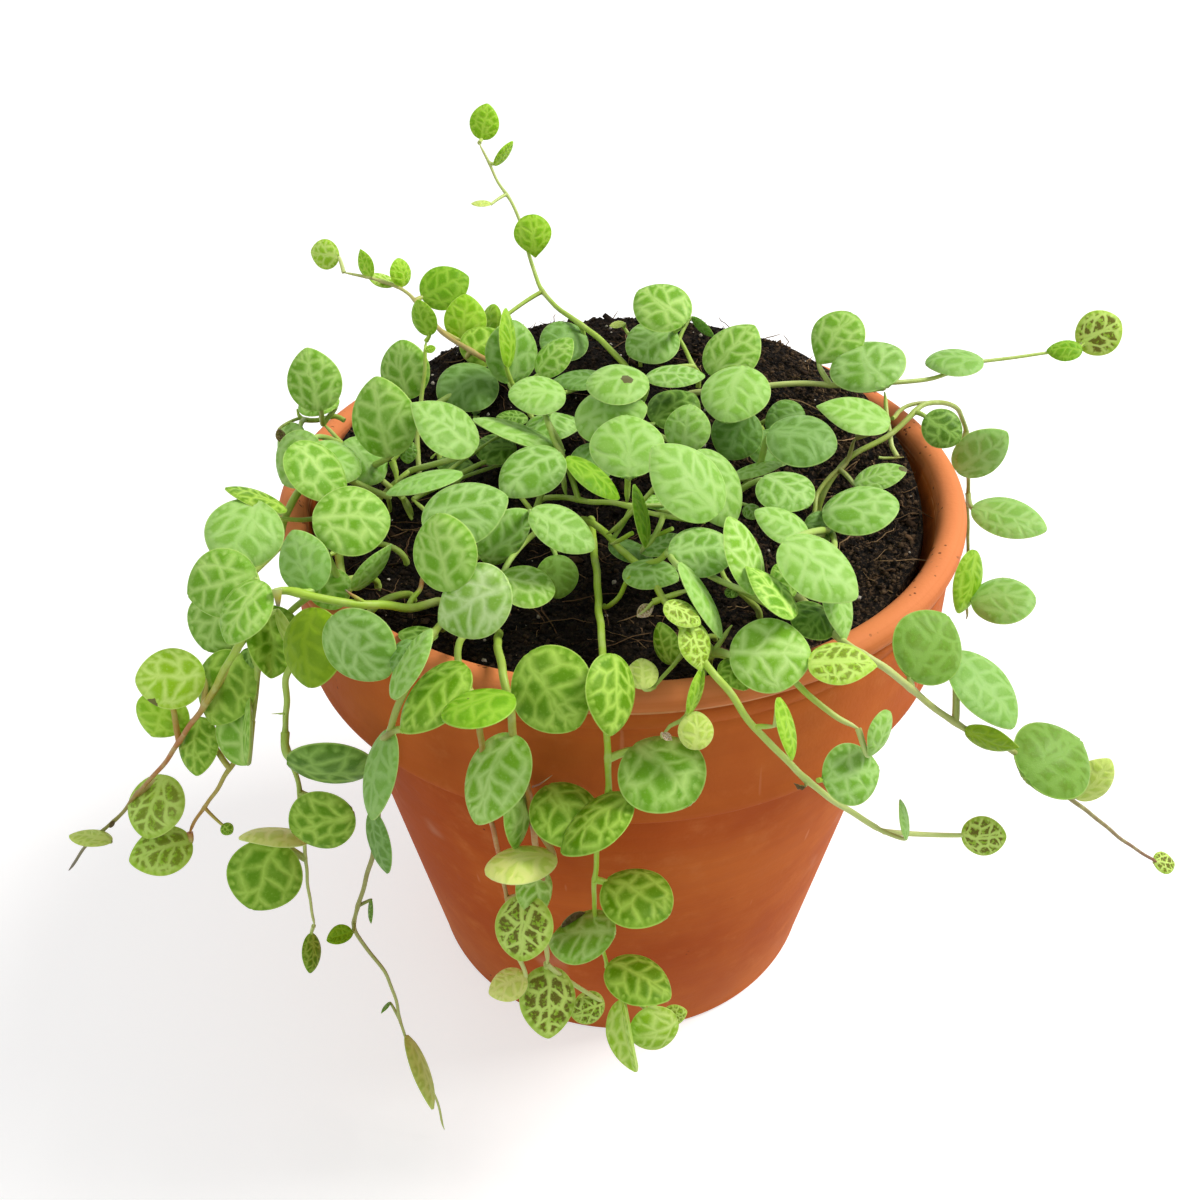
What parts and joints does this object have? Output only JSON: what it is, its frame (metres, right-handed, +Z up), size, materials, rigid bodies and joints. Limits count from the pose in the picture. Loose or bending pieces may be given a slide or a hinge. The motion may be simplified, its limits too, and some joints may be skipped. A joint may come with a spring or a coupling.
{
  "type": "potted string of turtles",
  "caption": "Creeping houseplant with small round patterned leaves on thin trailing vines, growing from dark soil in a tapered terracotta pot with a collared rim and a drain hole.",
  "frame": {"origin": "centre of the pot's foot, on the surface that it stands on", "axes": "+Z up along the pot's axis; -Y towards the side from which the plant shows best; +X to the right seen from there"},
  "size_m": [0.1832, 0.1355, 0.1393],
  "materials": {
    "terracotta": "unglazed fired clay, matt, with pale dust and fine turning lines",
    "potting_soil": "dark moist peat and bark with pale grit",
    "crown_green": "fleshy leaves, soft satin, blue green with pale net veins, on pale green stems",
    "trailing_green": "fleshy leaves, soft satin, yellow green with pale net veins and brown blotches on the young ones"
  },
  "bodies": {
    "root": {"terracotta_pot": "terracotta", "potting_soil": "potting_soil", "back_tall_vine": "trailing_green", "back_left_vine": "trailing_green", "left_upright_shoot": "crown_green", "back_right_vine": "trailing_green", "right_rim_vine": "trailing_green", "right_front_vine": "trailing_green", "front_right_vine": "trailing_green", "front_left_vine": "trailing_green", "front_centre_vine": "trailing_green", "left_long_vine": "trailing_green", "left_second_vine": "trailing_green", "left_hanging_vine": "trailing_green", "left_bare_vine": "trailing_green", "crown_shoot_left": "crown_green", "crown_shoot_left_rear": "crown_green", "crown_shoot_left_front": "crown_green", "crown_shoot_edge": "crown_green", "crown_shoot_centre_left": "crown_green", "crown_shoot_centre": "crown_green", "crown_shoot_rear_left": "crown_green", "crown_shoot_middle": "crown_green", "crown_shoot_rear": "crown_green", "crown_shoot_rear_bud": "crown_green", "crown_shoot_rear_right": "crown_green", "crown_shoot_right": "crown_green", "crown_shoot_right_edge": "crown_green", "crown_shoot_front_right": "crown_green", "crown_shoot_front": "crown_green", "crown_shoot_front_small": "crown_green", "crown_shoot_middle_low": "crown_green"}
  },
  "joints": []
}
